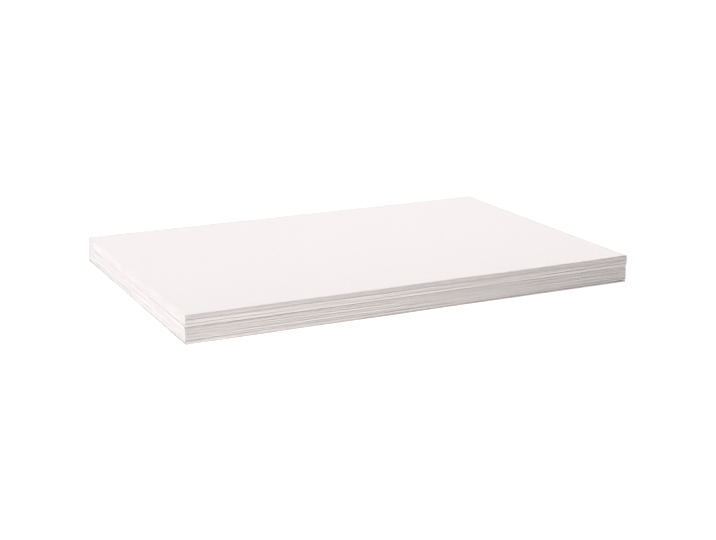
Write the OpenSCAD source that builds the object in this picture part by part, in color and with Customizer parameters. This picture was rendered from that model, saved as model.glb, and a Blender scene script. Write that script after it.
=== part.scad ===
// Pack of oil filter paper: loose sheets for a deep fryer's filter pan, stacked from two lifts.
// The sheets lie flat, one on another, and nothing binds or wraps them.
// +X runs along the pack's long side, +Y from its front to its back, +Z up.
// The origin is on the floor, below the middle of the pack.

/* [Sheet] */
// Length of one sheet, along the pack's long side
sheet_l = 619; // [300:1:900]
// Width of one sheet, from front to back
sheet_w = 416; // [200:1:700]
// Thickness of one sheet of filter paper
sheet_t = 0.34; // [0.1:0.01:2]
// How much farther out a lift's middle sheets end than its lowest and highest ones, where the knife cut the long sides
cut_belly = 1.0; // [0:0.05:3]

/* [Pack] */
// Number of sheets in the pack
sheet_count = 100; // [10:1:280]
// Air that stays between one sheet and the next
sheet_air = 0.02; // [0.01:0.01:0.3]
// Number of sheets in the lower lift, with the rest of them in the upper lift
lower_count = 61; // [0:1:280]
// How far the upper lift lies forward of the lower lift
lift_step = 0.4; // [0:0.1:10]

/* [Handfuls] */
// Number of sheets in a handful, which went onto the pack together
handful_count = 7; // [1:1:60]
// How far a handful slid out of line to the front or the back
handful_slide = 0.4; // [0:0.05:5]
// How far a handful slid out of line along the pack
handful_slide_along = 0.15; // [0:0.05:5]
// How far a handful turned out of line, in degrees to either side
handful_turn = 0.04; // [0:0.005:0.5]
// How far one sheet slid out of line with its handful
sheet_slide = 0.08; // [0:0.01:2]

/* [Dragged sheets] */
// Number of sheets on top of the lower lift that were dragged as the upper lift came down on them
dragged_count = 3; // [0:1:40]
// How far those sheets were turned, in degrees, which draws their left end back
drag_turn = 0.07; // [0:0.01:3]
// Number of sheets below the ones that slipped near the foot of the pack
foot_count = 4; // [0:1:280]
// Number of sheets that slipped there
slipped_count = 5; // [0:1:40]
// How far those sheets were turned, in degrees, which draws their right end back
slip_turn = 0.2; // [0:0.01:3]

/* [Hidden] */
paper_white = [0.965, 0.942, 0.935];

// The pack is counted off in fives, and each five is one node.
count_by = 5;
node_count = ceil(sheet_count / count_by);
function padded(n) = str(n < 10 ? "00" : n < 100 ? "0" : "", n);
function first_sheet(five) = five * count_by;
function last_sheet(five) = min(first_sheet(five) + count_by, sheet_count) - 1;

// One sheet's place is its own thickness and the air below the next one above the last.
pitch = sheet_t + sheet_air;

// A repeatable scatter from -1 to 1, with one value for each handful or for each sheet
function scatter(count, seed) = rands(-1, 1, count, seed);
handfuls = ceil(sheet_count / handful_count);
handful_x = scatter(handfuls, 11);
handful_y = scatter(handfuls, 689);
handful_angle = scatter(handfuls, 757);
sheet_x = scatter(sheet_count, 41);
sheet_y = scatter(sheet_count, 59);

function handful(sheet) = floor(sheet / handful_count);
function in_upper_lift(sheet) = sheet >= lower_count;
function is_dragged(sheet) = sheet < lower_count && sheet >= lower_count - dragged_count;
function is_slipped(sheet) = sheet >= foot_count && sheet < foot_count + slipped_count;

// How far up its lift a sheet lies, from 0 at the lift's foot to 1 at its top
function lift_share(sheet) = in_upper_lift(sheet)
    ? (sheet - lower_count + 0.5) / (sheet_count - lower_count)
    : (sheet + 0.5) / min(lower_count, sheet_count);

// The corners of a sheet as it was cut, in order round it from the front left one
function cut_corners(sheet) =
    let (
        x = sheet_l / 2,
        y = sheet_w / 2 + cut_belly * (sin(180 * lift_share(sheet)) - 0.5)
    )
    [[-x, -y], [x, -y], [x, y], [-x, y]];

// How a sheet lies: its turn, the end of the pack that it turned about, and its slide along and across the pack
function turn(sheet) = handful_turn * handful_angle[handful(sheet)]
    + (is_slipped(sheet) ? slip_turn : 0)
    - (is_dragged(sheet) ? drag_turn : 0);
function pivot(sheet) = [(is_slipped(sheet) ? -1 : 1) * sheet_l / 2, 0];
function slide(sheet) = [
    handful_slide_along * handful_x[handful(sheet)] + sheet_slide * sheet_x[sheet],
    handful_slide * handful_y[handful(sheet)] + sheet_slide * sheet_y[sheet]
        - (in_upper_lift(sheet) ? lift_step : 0)
];
function rotated(point, angle) = [
    point.x * cos(angle) - point.y * sin(angle),
    point.x * sin(angle) + point.y * cos(angle)
];
function lying_corners(sheet) = [
    for (corner = cut_corners(sheet))
        pivot(sheet) + rotated(corner - pivot(sheet), turn(sheet)) + slide(sheet)
];

// The middle of the whole stack, seen from above, which goes over the origin
all_corners = [for (sheet = [0 : sheet_count - 1]) each lying_corners(sheet)];
all_x = [for (corner = all_corners) corner.x];
all_y = [for (corner = all_corners) corner.y];
middle = [(min(all_x) + max(all_x)) / 2, (min(all_y) + max(all_y)) / 2];

// One loose sheet where it lies in the pack
module sheet(number) {
    color(paper_white)
        translate([0, 0, number * pitch])
            linear_extrude(sheet_t)
                polygon([for (corner = lying_corners(number)) corner - middle]);
}

// Five loose sheets, one above another
module five_sheets(five) {
    for (number = [first_sheet(five) : last_sheet(five)])
        sheet(number);
}

for (five = [0 : node_count - 1])
    five_sheets(five);
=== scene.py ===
"""A pack of oil filter paper: loose sheets for a fryer's filter pan, on a plain white studio floor."""

import math

import bmesh
import bpy
from bpy.props import FloatProperty, FloatVectorProperty, PointerProperty
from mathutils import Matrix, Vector, noise


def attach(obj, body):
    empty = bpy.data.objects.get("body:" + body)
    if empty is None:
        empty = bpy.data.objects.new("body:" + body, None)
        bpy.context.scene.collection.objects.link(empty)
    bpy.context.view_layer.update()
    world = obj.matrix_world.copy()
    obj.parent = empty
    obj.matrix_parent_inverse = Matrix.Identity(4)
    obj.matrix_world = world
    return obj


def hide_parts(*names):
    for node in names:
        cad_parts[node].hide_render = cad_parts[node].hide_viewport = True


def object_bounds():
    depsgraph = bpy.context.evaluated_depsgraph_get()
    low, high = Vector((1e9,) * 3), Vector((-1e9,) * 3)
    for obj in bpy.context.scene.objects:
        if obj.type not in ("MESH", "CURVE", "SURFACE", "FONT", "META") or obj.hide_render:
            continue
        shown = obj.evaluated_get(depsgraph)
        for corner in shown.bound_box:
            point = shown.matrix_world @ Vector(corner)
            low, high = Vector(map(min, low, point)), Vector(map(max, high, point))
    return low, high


bl_info = {
    "name": "Oil Filter Paper Pack",
    "version": (1, 0, 0),
    "blender": (4, 5, 0),
    "location": "3D View > Sidebar > Filter Paper",
    "description": "Dresses a pack of fryer filter paper, sheet by sheet, and sets it on a studio floor",
    "category": "Add Mesh",
}

BODY = "root"
MM = 0.001

# Decimals of a metre to which the corners of the CAD sheets are read
READ_DECIMALS = 6
# The upward part of a normal, below which a face is a sheet's wall, and below which it counts as cut edge
WALL_UPWARD = 0.5
CUT_EDGE_UPWARD = 0.9
# A sheet's two flat outlines have more corners than this, and its other faces fewer
SMALL_FACE_CORNERS = 8
BEVEL_SEGMENTS = 2
SHARP_ANGLE = math.radians(25)
# The share of the rim's width that lifts with the cut edge
RISING_RIM = 0.7
# The share of the pack's height, from its top down, that lifts at the curled corner
CURLED_SHARE = 0.2
# The middle of the uppermost sheet's swells, as a share of its cockle
COCKLE_MIDDLE = 0.5
# Where each kind of wandering reads the noise, so that none repeats another
COCKLE_LANE = 7.0
DRIFT_LANE = 40
RAGGED_LANES_PER_MM = 3
WANDER_LANES_PER_METRE = 60

FLOOR_RADIUS = 60.0
FAR_CLIP = 200.0
SENSOR_WIDTH = 36.0

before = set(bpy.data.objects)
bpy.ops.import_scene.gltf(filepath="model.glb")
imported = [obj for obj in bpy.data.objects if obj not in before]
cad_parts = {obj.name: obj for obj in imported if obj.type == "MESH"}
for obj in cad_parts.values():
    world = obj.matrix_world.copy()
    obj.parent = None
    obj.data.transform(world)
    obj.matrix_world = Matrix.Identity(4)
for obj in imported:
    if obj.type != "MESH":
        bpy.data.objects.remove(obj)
CAD_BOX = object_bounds()
PACK_LOW, PACK_HIGH = (Vector(corner) for corner in CAD_BOX)
PACK_HEIGHT = PACK_HIGH.z - PACK_LOW.z
SHEET_NODES = sorted(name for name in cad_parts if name.startswith("sheets_"))


def millimetres(name, description, value, highest):
    """A size of the paper, kept in metres and shown as a length."""
    return FloatProperty(name=name, description=description, default=value * MM, min=0.0, max=highest * MM,
                         subtype="DISTANCE", unit="LENGTH", precision=5)


def colour(name, description, value):
    """A linear colour that a user may pick."""
    return FloatVectorProperty(name=name, description=description, default=value, size=3,
                               min=0.0, soft_max=1.0, subtype="COLOR")


def strength(name, description, value):
    """A plain number from nought up, such as a brightness or a tone."""
    return FloatProperty(name=name, description=description, default=value, min=0.0)


def metres(name, description, value):
    """A distance in the room, which may be to either side."""
    return FloatProperty(name=name, description=description, default=value, subtype="DISTANCE",
                         unit="LENGTH")


def degrees(name, description, value):
    """An angle, kept in radians and shown in degrees."""
    return FloatProperty(name=name, description=description, default=math.radians(value), subtype="ANGLE")


def watts(name, description, value):
    """The power of a light."""
    return FloatProperty(name=name, description=description, default=value, min=0.0, subtype="POWER")


def extent(name, description, value):
    """A place in the room, or the two sides of a light."""
    return FloatVectorProperty(name=name, description=description, default=value, size=len(value),
                               unit="LENGTH")


class FilterSheetSettings(bpy.types.PropertyGroup):
    """How each sheet of the pack is cut and how it lies."""

    edge_step: millimetres("Edge step", "Distance between the points along a cut edge", 5.0, 50.0)
    face_step: millimetres("Face step", "Size of the cells of the uppermost sheet", 6.0, 50.0)
    edge_round: millimetres("Edge rounding", "Softness of a sheet's cut edge, above and below", 0.07, 0.15)
    rim: millimetres("Rim", "Width of the band behind a cut edge in which a sheet may lift", 12.0, 60.0)
    corner_clear: millimetres(
        "Corner stretch", "Straight part of a cut edge beside a corner, which is longer than the rim is wide",
        15.0, 80.0)
    ragged: millimetres("Ragged edge", "How far one sheet's cut edge wanders in and out by itself", 0.13, 1.0)
    ragged_wave: millimetres("Ragged wave", "Length of one edge's own wandering", 60.0, 500.0)
    drift: millimetres(
        "Edge drift", "How far neighbouring sheets' long edges wander in and out together", 0.45, 2.0)
    end_drift: millimetres("End drift", "The same, at the pack's short ends", 0.1, 2.0)
    drift_wave: millimetres("Drift wave", "Length of the edges' wandering together", 110.0, 900.0)
    drift_height: millimetres(
        "Drift height", "Height in the pack over which edges wander together", 1.8, 20.0)
    wander: millimetres("Wander", "How far the layers wander up and down along the pack's edges", 0.2, 2.0)
    wander_wave: millimetres("Wander wave", "Length of the layers' wandering along the edges", 140.0, 900.0)
    cockle: millimetres("Cockle", "How far the uppermost sheet is out of flat", 0.12, 2.0)
    cockle_wave: millimetres("Cockle wave", "Size of the uppermost sheet's swells", 90.0, 900.0)
    curl: millimetres("Corner curl", "How far the uppermost sheets lift at the front right corner", 0.8, 5.0)
    curl_reach: millimetres("Curl reach", "How far from that corner the sheets begin to lift", 120.0, 600.0)


class FilterPaperSettings(bpy.types.PropertyGroup):
    """The look of the paper."""

    face: colour("Face", "Colour of a sheet's face", (0.872, 0.824, 0.824))
    edge: colour("Cut edge", "Colour of a sheet's cut edge", (0.858, 0.812, 0.790))
    cloud: millimetres("Clouds", "Size of the pulp's cloudy patches", 9.0, 100.0)
    fibre: millimetres("Fibres", "Size of the fibres in the face", 0.6, 10.0)
    tooth: millimetres("Tooth", "Depth of the fibrous face", 0.03, 1.0)
    # The bands are painted light and shade in the cut edges: lighter and darker strips in place of the light
    # on ledges of sheets and the shadow under them
    painted_band_length: millimetres(
        "Band length", "Length of the lighter and darker bands in the cut edges", 160.0, 900.0)
    painted_band_height: millimetres("Band height", "Height of those bands", 1.6, 20.0)
    painted_band_shade: strength("Band tone", "Strength of those bands", 0.16)
    cloud_tone: strength("Cloud tone", "How much lighter and darker the cloudy patches are", 0.04)
    fibre_tone: strength("Fibre tone", "How much lighter and darker the fibres are", 0.05)
    roughness: strength("Roughness", "Mattness of the paper", 0.86)
    roughness_spread: strength("Roughness spread", "How much the fibres vary it", 0.16)
    gloss: strength("Gloss", "Strength of the paper's faint reflections", 0.25)
    bump: strength("Bump", "Strength of the fibrous face's relief", 0.5)


class StudioSettings(bpy.types.PropertyGroup):
    """The camera, the lights and the floor."""

    azimuth: degrees("Azimuth", "Camera's turn round the pack from its front", -25.84)
    elevation: degrees("Elevation", "Camera's angle above the floor", 15.33)
    distance: metres("Distance", "Camera's distance from the pack", 1.9024)
    aim_right: metres("Aim right", "How far right of the pack's middle the camera aims", 0.01103)
    aim_up: metres("Aim up", "How far above the pack's foot the camera aims", 0.00168)
    lens: strength("Lens", "Focal length in millimetres, for a sensor 36 mm wide", 69.42)
    left_place: extent("Left soft box", "Where the light at the left stands", (-1.6, -0.1, 0.5))
    left_size: extent("Left size", "The two sides of the light at the left", (0.6, 0.4))
    left_power: watts("Left power", "Power of the light at the left", 6.8)
    left_tint: colour("Left tint", "Colour of the light at the left", (0.955, 1.0, 1.06))
    overhead_place: extent("Overhead soft box", "Where the light overhead hangs", (0.3, 0.25, 2.5))
    overhead_size: extent("Overhead size", "The two sides of the light overhead", (2.0, 2.0))
    overhead_power: watts("Overhead power", "Power of the light overhead", 76.5)
    sky: strength("Sky", "Brightness of the room above the backdrop", 0.0)
    horizon: strength("Horizon", "Brightness of the backdrop at the horizon", 1.0)
    horizon_height: strength("Horizon height", "How high the backdrop reaches, where 1 is straight up", 0.12)
    floor_white: strength("Floor white", "Whiteness of the floor's own surface", 0.3)
    floor_glow_left: strength("Floor glow, left", "Brightness of the white floor at the left", 1.4)
    floor_glow: strength("Floor glow", "Brightness of the white floor at the right, near the pack", 0.76)
    glow_fall_start: metres("Glow fall, start", "Where the floor begins to dim, going right", -0.3)
    glow_fall_end: metres("Glow fall, end", "Where the floor is at its dimmest", 0.5)
    far_glow: strength("Far glow", "How much brighter the floor is far from the pack", 0.28)
    far_glow_start: metres("Far glow, start", "How far out the floor begins to brighten", 0.5)
    far_glow_end: metres("Far glow, end", "How far out the floor is at its brightest", 2.5)


class Value:
    """A number that varies over a surface: a node's output socket, with Python's arithmetic."""

    def __init__(self, graph, socket):
        self.graph = graph
        self.socket = socket

    def maths(self, operation, *others):
        inputs = dict(enumerate((self, *others)))
        return self.graph.node("ShaderNodeMath", {"operation": operation}, inputs)

    def __add__(self, other):
        return self.maths("ADD", other)

    def __sub__(self, other):
        return self.maths("SUBTRACT", other)

    def __mul__(self, other):
        return self.maths("MULTIPLY", other)

    def __rsub__(self, other):
        return self * -1.0 + other

    __radd__ = __add__
    __rmul__ = __mul__


class Graph:
    """The node tree of one material or of the world."""

    def __init__(self, tree):
        self.tree = tree
        tree.nodes.clear()

    def node(self, kind, settings=None, inputs=None, output=0):
        """Adds a node, sets what it is and then its sockets, and returns one of its outputs."""
        node = self.tree.nodes.new(kind)
        for name, setting in (settings or {}).items():
            setattr(node, name, setting)
        for name, value in (inputs or {}).items():
            if isinstance(value, Value):
                self.tree.links.new(value.socket, node.inputs[name])
            else:
                node.inputs[name].default_value = value
        return Value(self, node.outputs[output]) if node.outputs else None

    def scaled(self, tint, amount):
        """A colour made lighter or darker by a number that varies."""
        return self.node("ShaderNodeVectorMath", {"operation": "SCALE"}, {0: tint, "Scale": amount})

    def mixed(self, amount, first, second):
        """One colour going over into another."""
        ends = {0: amount, 6: (*first, 1.0), 7: (*second, 1.0)}
        return self.node("ShaderNodeMix", {"data_type": "RGBA"}, ends, output=2)

    def faded(self, value, start, end, first, last):
        """A number that goes smoothly from the first to the last while the value goes from start to end."""
        return self.node("ShaderNodeMapRange", {"interpolation_type": "SMOOTHSTEP"}, {
            "Value": value, "From Min": start, "From Max": end, "To Min": first, "To Max": last})


def filter_paper(look):
    """Soft, matt, warm white filter paper: cloudy pulp, short fibres, slightly warmer cut edges, and painted
    lighter and darker bands of light and shade along the cut edges.
    """
    material = bpy.data.materials.new("filter_paper")
    material.use_nodes = True
    graph = Graph(material.node_tree)
    place = graph.node("ShaderNodeTexCoord", output="Object")
    clouds = graph.node("ShaderNodeTexNoise", {}, {"Vector": place, "Scale": 1 / look.cloud, "Detail": 3.0})
    fibres = graph.node("ShaderNodeTexNoise", {}, {"Vector": place, "Scale": 1 / look.fibre, "Detail": 2.0})
    on_edge = graph.node("ShaderNodeAttribute", {"attribute_name": "cut_edge"}, output="Fac")
    stretched = graph.node("ShaderNodeVectorMath", {"operation": "DIVIDE"}, {
        0: place, 1: (look.painted_band_length, look.painted_band_length, look.painted_band_height)})
    # Painted light and shade: lighter and darker bands along the cut edges, in place of the light on the
    # sheets' ledges and the shadow under them
    painted_bands = graph.node("ShaderNodeTexNoise", {}, {"Vector": stretched, "Scale": 1.0, "Detail": 2.0})
    # Each noise lies about 0.5, so the shade lies about 1
    shade = (1.0 + (clouds - 0.5) * look.cloud_tone + (fibres - 0.5) * look.fibre_tone
             + (painted_bands - 0.5) * on_edge * look.painted_band_shade)
    paper = graph.scaled(graph.mixed(on_edge, look.face, look.edge), shade)
    tooth = graph.node("ShaderNodeBump", {}, {
        "Height": fibres, "Strength": look.bump, "Distance": look.tooth})
    surface = graph.node("ShaderNodeBsdfPrincipled", {}, {
        "Base Color": paper, "Roughness": look.roughness + (fibres - 0.5) * look.roughness_spread,
        "Specular IOR Level": look.gloss, "Normal": tooth})
    graph.node("ShaderNodeOutputMaterial", {}, {"Surface": surface})
    return material


def lying_sheets(node):
    """Each loose sheet of a CAD node, lowest first: its height, its thickness and its corners, in order."""
    levels = {}
    for vertex in node.data.vertices:
        x, y, z = (round(value, READ_DECIMALS) for value in vertex.co)
        levels.setdefault(z, set()).add((x, y))
    heights = sorted(levels)
    for low, high in zip(heights[0::2], heights[1::2]):
        corners = [Vector(corner) for corner in levels[low]]
        middle = sum(corners, Vector((0, 0))) / len(corners)
        corners.sort(key=lambda corner: math.atan2(corner.y - middle.y, corner.x - middle.x))
        yield low, high - low, corners


def wave(place, length, lane):
    """A slow swell from about -1 to 1, the same at the same place each time."""
    return noise.noise(Vector((place.x / length, place.y / length, lane)))


def layer_rise(place, uppermost, paper):
    """How far a point lies above its true level: layers wander near the edges, and the top ones curl up."""
    share = min(max((place.z - PACK_LOW.z) / PACK_HEIGHT, 0.0), 1.0)
    depth = min(place.x - PACK_LOW.x, PACK_HIGH.x - place.x, place.y - PACK_LOW.y, PACK_HIGH.y - place.y)
    near_edge = min(max(1.0 - depth / (RISING_RIM * paper.rim), 0.0), 1.0)
    near_top = max(0.0, (share - (1.0 - CURLED_SHARE)) / CURLED_SHARE) ** 2
    to_corner = Vector((PACK_HIGH.x - place.x, place.y - PACK_LOW.y)).length
    curl = paper.curl * near_top * max(0.0, 1.0 - to_corner / paper.curl_reach) ** 2
    if uppermost:
        swell = max(0.0, COCKLE_MIDDLE + wave(place, paper.cockle_wave, COCKLE_LANE))
        return curl + paper.cockle * swell
    middle_height = math.sin(math.pi * share)
    lane = place.z * WANDER_LANES_PER_METRE
    return (curl + paper.wander * middle_height * wave(place, paper.wander_wave, lane)) * near_edge


def fill_outline(bm, corners, low, paper):
    """A flat face with the sheet's outline, with points along its edges but clear of its corners."""
    outline = []
    for start, end in zip(corners, corners[1:] + corners[:1]):
        stretch = (end - start).normalized() * paper.corner_clear
        outline += [start, start + stretch, end - stretch]
    ring = [bm.verts.new((place.x, place.y, low)) for place in outline]
    stretches = [bm.edges.new(ends) for ends in zip(ring, ring[1:] + ring[:1])]
    # Each side is a short stretch, a long one and a short one, and the long one takes the points
    for long_stretch in stretches[1::3]:
        cuts = max(1, round(long_stretch.calc_length() / paper.edge_step) - 1)
        bmesh.ops.subdivide_edges(bm, edges=[long_stretch], cuts=cuts)
    bmesh.ops.edgeloop_fill(bm, edges=bm.edges)


def fill_grid(bm, corners, low, step):
    """A flat grid with the sheet's outline, for the sheet whose whole face shows."""
    length = (corners[1] - corners[0]).length
    width = (corners[3] - corners[0]).length
    columns, rows = round(length / step), round(width / step)
    made = bmesh.ops.create_grid(bm, x_segments=columns, y_segments=rows, size=0.5)
    for vertex in made["verts"]:
        along, across = vertex.co.x + 0.5, vertex.co.y + 0.5
        front = corners[0].lerp(corners[1], along)
        back = corners[3].lerp(corners[2], along)
        place = front.lerp(back, across)
        vertex.co = (place.x, place.y, low)


def wander_cut_edges(bm, paper):
    """Moves a flat sheet's outline in and out a little, partly by itself and partly with its neighbours."""
    outward = {}
    for edge in bm.edges:
        if edge.is_boundary:
            loop = edge.link_loops[0]
            start, end = loop.vert, loop.link_loop_next.vert
            along = (end.co.xy - start.co.xy).normalized()
            for vertex in (start, end):
                outward[vertex] = outward.get(vertex, Vector((0, 0))) + Vector((along.y, -along.x))
    for vertex, direction in outward.items():
        alone = paper.ragged * wave(vertex.co, paper.ragged_wave, vertex.co.z / MM * RAGGED_LANES_PER_MM)
        together = wave(vertex.co, paper.drift_wave, vertex.co.z / paper.drift_height + DRIFT_LANE)
        direction.normalize()
        vertex.co.x += direction.x * (alone + paper.end_drift * together)
        vertex.co.y += direction.y * (alone + paper.drift * together)


def cut_sheet(low, thickness, corners, uppermost, paper):
    """One sheet as a closed thin plate with soft, slightly wandering cut edges."""
    bm = bmesh.new()
    if uppermost:
        fill_grid(bm, corners, low, paper.face_step)
    else:
        fill_outline(bm, corners, low, paper)
    wander_cut_edges(bm, paper)
    made = bmesh.ops.extrude_face_region(bm, geom=bm.faces[:], use_keep_orig=True)
    raised = [item for item in made["geom"] if isinstance(item, bmesh.types.BMVert)]
    bmesh.ops.translate(bm, verts=raised, vec=(0, 0, thickness))
    bmesh.ops.recalc_face_normals(bm, faces=bm.faces)
    walls = {face for face in bm.faces if abs(face.normal.z) < WALL_UPWARD}
    lips = [edge for edge in bm.edges if sum(face in walls for face in edge.link_faces) == 1]
    bmesh.ops.bevel(bm, geom=lips, offset=paper.edge_round, offset_type="OFFSET",
                    segments=BEVEL_SEGMENTS, profile=0.5, affect="EDGES", material=-1, clamp_overlap=True)
    outlines = [face for face in bm.faces if len(face.verts) > SMALL_FACE_CORNERS]
    bmesh.ops.inset_individual(bm, faces=outlines, thickness=paper.rim, use_even_offset=True)
    return bm


def mark_edges(bm):
    """Marks what is cut edge, for the paper's material."""
    on_edge = bm.faces.layers.float.new("cut_edge")
    for face in bm.faces:
        face[on_edge] = 1.0 if abs(face.normal.z) < CUT_EDGE_UPWARD else 0.0
        face.smooth = True


def pile_sheets(node, highest, paper):
    """All the dressed sheets of one CAD node, loose in one mesh."""
    pile = bmesh.new()
    for low, thickness, corners in lying_sheets(node):
        uppermost = low == highest
        sheet = cut_sheet(low, thickness, corners, uppermost, paper)
        mark_edges(sheet)
        for vertex in sheet.verts:
            vertex.co.z += layer_rise(vertex.co, uppermost, paper)
        loose = bpy.data.meshes.new("loose")
        sheet.to_mesh(loose)
        sheet.free()
        pile.from_mesh(loose)
        bpy.data.meshes.remove(loose)
    return pile


def finish_piece(name, bm, node_name, material):
    """Makes a mesh object of the sheets, in the frame's own place, with its square corners kept crisp."""
    mesh = bpy.data.meshes.new(name)
    bm.to_mesh(mesh)
    bm.free()
    mesh.set_sharp_from_angle(angle=SHARP_ANGLE)
    mesh.materials.append(material)
    piece = bpy.data.objects.new(name, mesh)
    bpy.context.scene.collection.objects.link(piece)
    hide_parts(node_name)
    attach(piece, BODY)


class FILTERPACK_OT_sheets(bpy.types.Operator):
    """Lay out the pack's loose sheets of filter paper, five to a piece"""

    bl_idname = "filterpack.sheets"
    bl_label = "Loose Filter Paper Sheets"

    def execute(self, context):
        paper = context.scene.filter_sheets
        material = filter_paper(context.scene.filter_paper)
        nodes = {name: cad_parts[name] for name in SHEET_NODES}
        highest = max(low for node in nodes.values() for low, _, _ in lying_sheets(node))
        for node_name, node in nodes.items():
            pile = pile_sheets(node, highest, paper)
            finish_piece(node_name.replace("sheets", "filter_paper"), pile, node_name, material)
        return {"FINISHED"}


def soft_box(name, place, size, power, tint=(1.0, 1.0, 1.0)):
    """A soft box that shines on the pack and stays out of every picture."""
    lamp = bpy.data.lights.new(name, "AREA")
    lamp.color = tint
    lamp.shape = "RECTANGLE"
    lamp.size, lamp.size_y = size
    lamp.energy = power
    light = bpy.data.objects.new(name, lamp)
    light.location = place
    light.rotation_euler = Vector(place).to_track_quat("Z", "Y").to_euler()
    light.visible_camera = False
    bpy.context.scene.collection.objects.link(light)


def studio_floor(studio):
    """A wide white floor that glows, most of all at the left, so that the pack's shadow is lost in it."""
    bm = bmesh.new()
    bmesh.ops.create_circle(bm, cap_ends=True, segments=64, radius=FLOOR_RADIUS)
    mesh = bpy.data.meshes.new("studio_floor")
    bm.to_mesh(mesh)
    bm.free()
    material = bpy.data.materials.new("studio_floor")
    material.use_nodes = True
    graph = Graph(material.node_tree)
    place = graph.node("ShaderNodeTexCoord", output="Object")
    rightwards = graph.node("ShaderNodeSeparateXYZ", {}, {"Vector": place}, output="X")
    glow = graph.faded(rightwards, studio.glow_fall_start, studio.glow_fall_end,
                       studio.floor_glow_left, studio.floor_glow)
    outwards = graph.node("ShaderNodeVectorMath", {"operation": "LENGTH"}, {0: place}, output="Value")
    far = graph.faded(outwards, studio.far_glow_start, studio.far_glow_end, 0.0, studio.far_glow)
    white = studio.floor_white
    surface = graph.node("ShaderNodeBsdfPrincipled", {}, {
        "Base Color": (white, white, white, 1.0), "Roughness": 1.0, "Specular IOR Level": 0.0,
        "Emission Color": glow + far, "Emission Strength": 1.0})
    graph.node("ShaderNodeOutputMaterial", {}, {"Surface": surface})
    mesh.materials.append(material)
    floor = bpy.data.objects.new("studio_floor", mesh)
    bpy.context.scene.collection.objects.link(floor)


def studio_room(studio):
    """A dark room, with a bright backdrop just above the horizon that carries on the white floor."""
    world = bpy.data.worlds.new("studio_room")
    bpy.context.scene.world = world
    world.use_nodes = True
    graph = Graph(world.node_tree)
    direction = graph.node("ShaderNodeTexCoord", output="Generated")
    height = graph.node("ShaderNodeSeparateXYZ", {}, {"Vector": direction}, output="Z")
    glow = graph.faded(height, 0.0, studio.horizon_height, studio.horizon, studio.sky)
    surface = graph.node("ShaderNodeBackground", {}, {"Color": (1.0, 1.0, 1.0, 1.0), "Strength": glow})
    graph.node("ShaderNodeOutputWorld", {}, {"Surface": surface})


def studio_camera(studio):
    """The camera at the photograph's viewing angle."""
    azimuth, elevation = studio.azimuth, studio.elevation
    back = Vector((math.sin(azimuth) * math.cos(elevation), -math.cos(azimuth) * math.cos(elevation),
                   math.sin(elevation)))
    right = Vector((0, 0, 1)).cross(back).normalized()
    up = back.cross(right)
    aim = right * studio.aim_right + up * studio.aim_up
    camera = bpy.data.objects.new("camera", bpy.data.cameras.new("camera"))
    camera.data.lens = studio.lens
    camera.data.sensor_width = SENSOR_WIDTH
    camera.data.clip_end = FAR_CLIP
    camera.location = aim + back * studio.distance
    camera.rotation_euler = back.to_track_quat("Z", "Y").to_euler()
    bpy.context.scene.collection.objects.link(camera)
    bpy.context.scene.camera = camera


class FILTERPACK_OT_studio(bpy.types.Operator):
    """Set up the white floor, the soft boxes and the camera"""

    bl_idname = "filterpack.studio"
    bl_label = "White Studio"

    def execute(self, context):
        studio = context.scene.filter_studio
        context.scene.view_settings.view_transform = "Standard"
        studio_camera(studio)
        studio_floor(studio)
        studio_room(studio)
        soft_box("left_light", studio.left_place, studio.left_size, studio.left_power, studio.left_tint)
        soft_box("overhead_light", studio.overhead_place, studio.overhead_size, studio.overhead_power)
        return {"FINISHED"}


class FILTERPACK_PT_panel(bpy.types.Panel):
    """Buttons and sizes of the filter paper pack"""

    bl_idname = "FILTERPACK_PT_panel"
    bl_label = "Oil Filter Paper Pack"
    bl_space_type = "VIEW_3D"
    bl_region_type = "UI"
    bl_category = "Filter Paper"

    def draw(self, context):
        for operator in (FILTERPACK_OT_sheets, FILTERPACK_OT_studio):
            self.layout.operator(operator.bl_idname)
        scene = context.scene
        for settings in (scene.filter_sheets, scene.filter_paper, scene.filter_studio):
            box = self.layout.box()
            for name in settings.__annotations__:
                box.prop(settings, name)


CLASSES = (FilterSheetSettings, FilterPaperSettings, StudioSettings, FILTERPACK_OT_sheets,
           FILTERPACK_OT_studio, FILTERPACK_PT_panel)


def register():
    for cls in CLASSES:
        bpy.utils.register_class(cls)
    bpy.types.Scene.filter_sheets = PointerProperty(type=FilterSheetSettings)
    bpy.types.Scene.filter_paper = PointerProperty(type=FilterPaperSettings)
    bpy.types.Scene.filter_studio = PointerProperty(type=StudioSettings)


def unregister():
    del bpy.types.Scene.filter_studio
    del bpy.types.Scene.filter_paper
    del bpy.types.Scene.filter_sheets
    for cls in reversed(CLASSES):
        bpy.utils.unregister_class(cls)


def main():
    register()
    bpy.ops.filterpack.sheets()
    bpy.ops.filterpack.studio()


if __name__ == "__main__":
    main()
